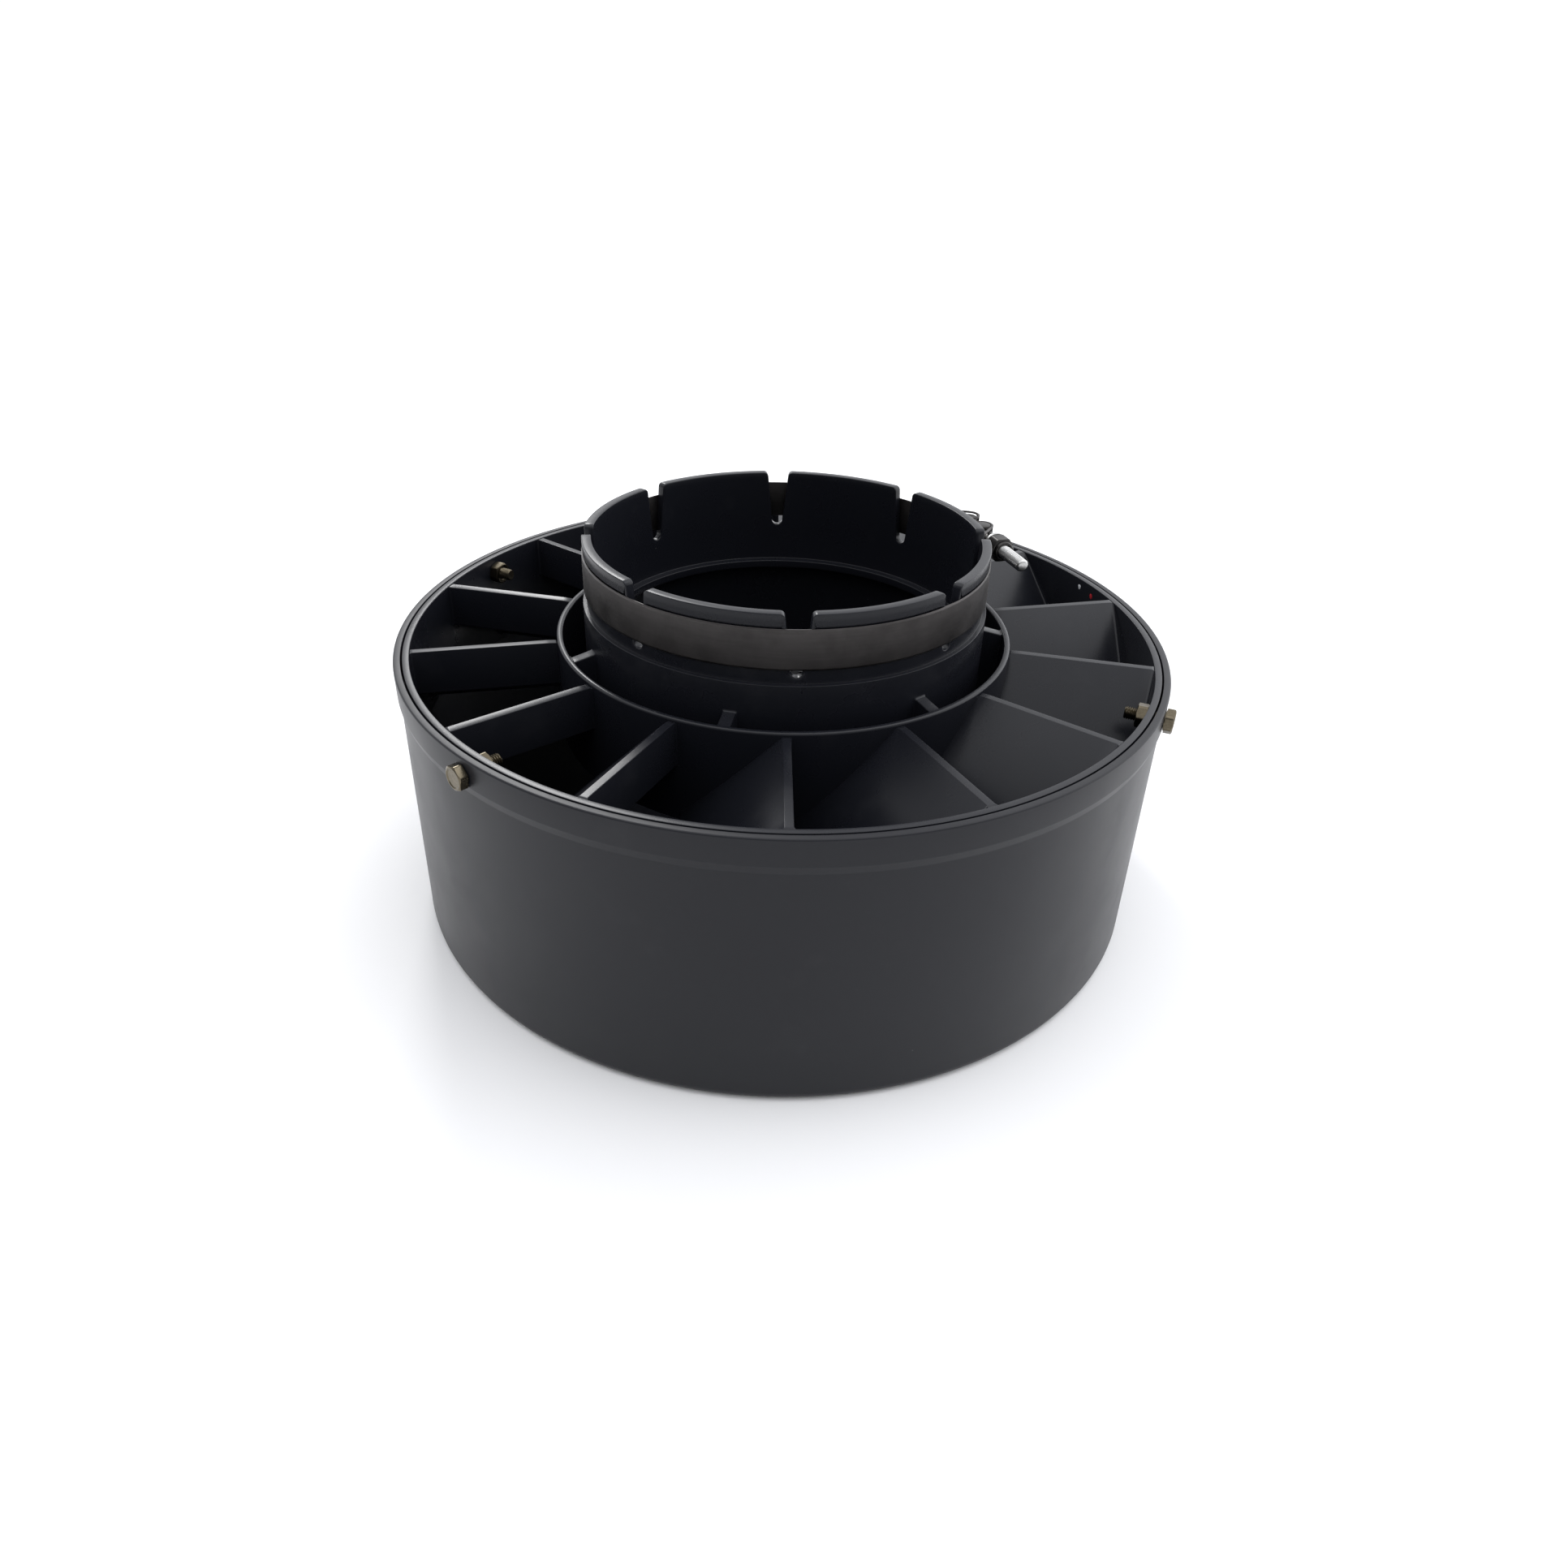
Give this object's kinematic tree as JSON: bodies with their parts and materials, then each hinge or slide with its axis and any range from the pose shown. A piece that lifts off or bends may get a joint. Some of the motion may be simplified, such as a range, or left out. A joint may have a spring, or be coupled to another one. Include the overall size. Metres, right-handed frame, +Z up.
{
  "type": "engine air pre-cleaner",
  "caption": "Round cyclonic engine-air pre-cleaner, hood down: sloping inlet vanes, slotted outlet neck with band clamp, inner rotor with paddles.",
  "frame": {"origin": "centre of the closed end of the hood, on the surface it stands on", "axes": "+Z up along the neck's axis, from the closed end of the hood to the outlet neck; -Y is the front"},
  "size_m": [0.36, 0.36, 0.1773],
  "materials": {
    "hood_plastic": "satin charcoal moulded plastic with a fine grain",
    "base_plastic": "near-black satin moulded plastic",
    "clamp_steel": "dark brown-grey stainless band with a bright rolled edge",
    "clamp_hardware": "bright plated steel, cut threads",
    "zinc_hardware": "olive-yellow zinc plating",
    "spindle_steel": "plated steel",
    "bearing_steel": "ground steel with dark seals",
    "rotor_plastic": "satin dark glass-filled nylon"
  },
  "bodies": {
    "root": {"hood_shell": "hood_plastic", "base_outer_ring": "base_plastic", "base_hub_ring": "base_plastic", "outlet_neck": "base_plastic", "inlet_vane_01": "base_plastic", "inlet_vane_02": "base_plastic", "inlet_vane_03": "base_plastic", "inlet_vane_04": "base_plastic", "inlet_vane_05": "base_plastic", "inlet_vane_06": "base_plastic", "inlet_vane_07": "base_plastic", "inlet_vane_08": "base_plastic", "inlet_vane_09": "base_plastic", "inlet_vane_10": "base_plastic", "inlet_vane_11": "base_plastic", "inlet_vane_12": "base_plastic", "inlet_vane_13": "base_plastic", "inlet_vane_14": "base_plastic", "neck_rib_01": "base_plastic", "neck_rib_02": "base_plastic", "neck_rib_03": "base_plastic", "neck_rib_04": "base_plastic", "neck_rib_05": "base_plastic", "neck_rib_06": "base_plastic", "neck_rib_07": "base_plastic", "rim_bolt_01": "zinc_hardware", "rim_bolt_02": "zinc_hardware", "rim_bolt_03": "zinc_hardware", "rim_bolt_04": "zinc_hardware", "rim_nut_01": "zinc_hardware", "rim_nut_02": "zinc_hardware", "rim_nut_03": "zinc_hardware", "rim_nut_04": "zinc_hardware", "spindle_bolt": "spindle_steel", "spindle_jam_nut": "spindle_steel", "bearing_spacer": "spindle_steel", "rotor_washer": "spindle_steel", "rotor_lock_nut": "spindle_steel"},
    "rotor_body": {"rotor": "rotor_plastic", "rotor_cap": "rotor_plastic", "rotor_bearing_low": "bearing_steel", "rotor_bearing_high": "bearing_steel"},
    "clamp": {"clamp_band": "clamp_steel", "clamp_loop_trunnion": "clamp_steel", "clamp_loop_head": "clamp_steel", "clamp_t_bolt": "clamp_hardware", "clamp_trunnion": "clamp_hardware"},
    "clamp_nut_travel": {"clamp_washer": "clamp_hardware"},
    "clamp_nut": {"clamp_nut": "clamp_hardware"}
  },
  "joints": [
    {"name": "rotor_spin", "type": "hinge", "parent": "root", "child": "rotor_body", "pos_m": [0, 0, 0.06], "axis": [0, 0, 1], "continuous": true},
    {"name": "clamp_turn", "type": "hinge", "parent": "root", "child": "clamp", "pos_m": [0, 0, 0.16195], "axis": [0, 0, 1], "continuous": true},
    {"name": "nut_travel", "type": "slide", "parent": "clamp", "child": "clamp_nut_travel", "axis": [0.314, -0.9494, 0], "range_m": [0, 0.012]},
    {"name": "nut_turn", "type": "hinge", "parent": "clamp_nut_travel", "child": "clamp_nut", "pos_m": [0.10254, 0.03391, 0.16195], "axis": [0.314, -0.9494, 0], "range_deg": [0, 4764]}
  ],
  "couplings": [
    {"joint": "nut_turn", "follows": "nut_travel", "rad_per_m": 6927.4}
  ]
}
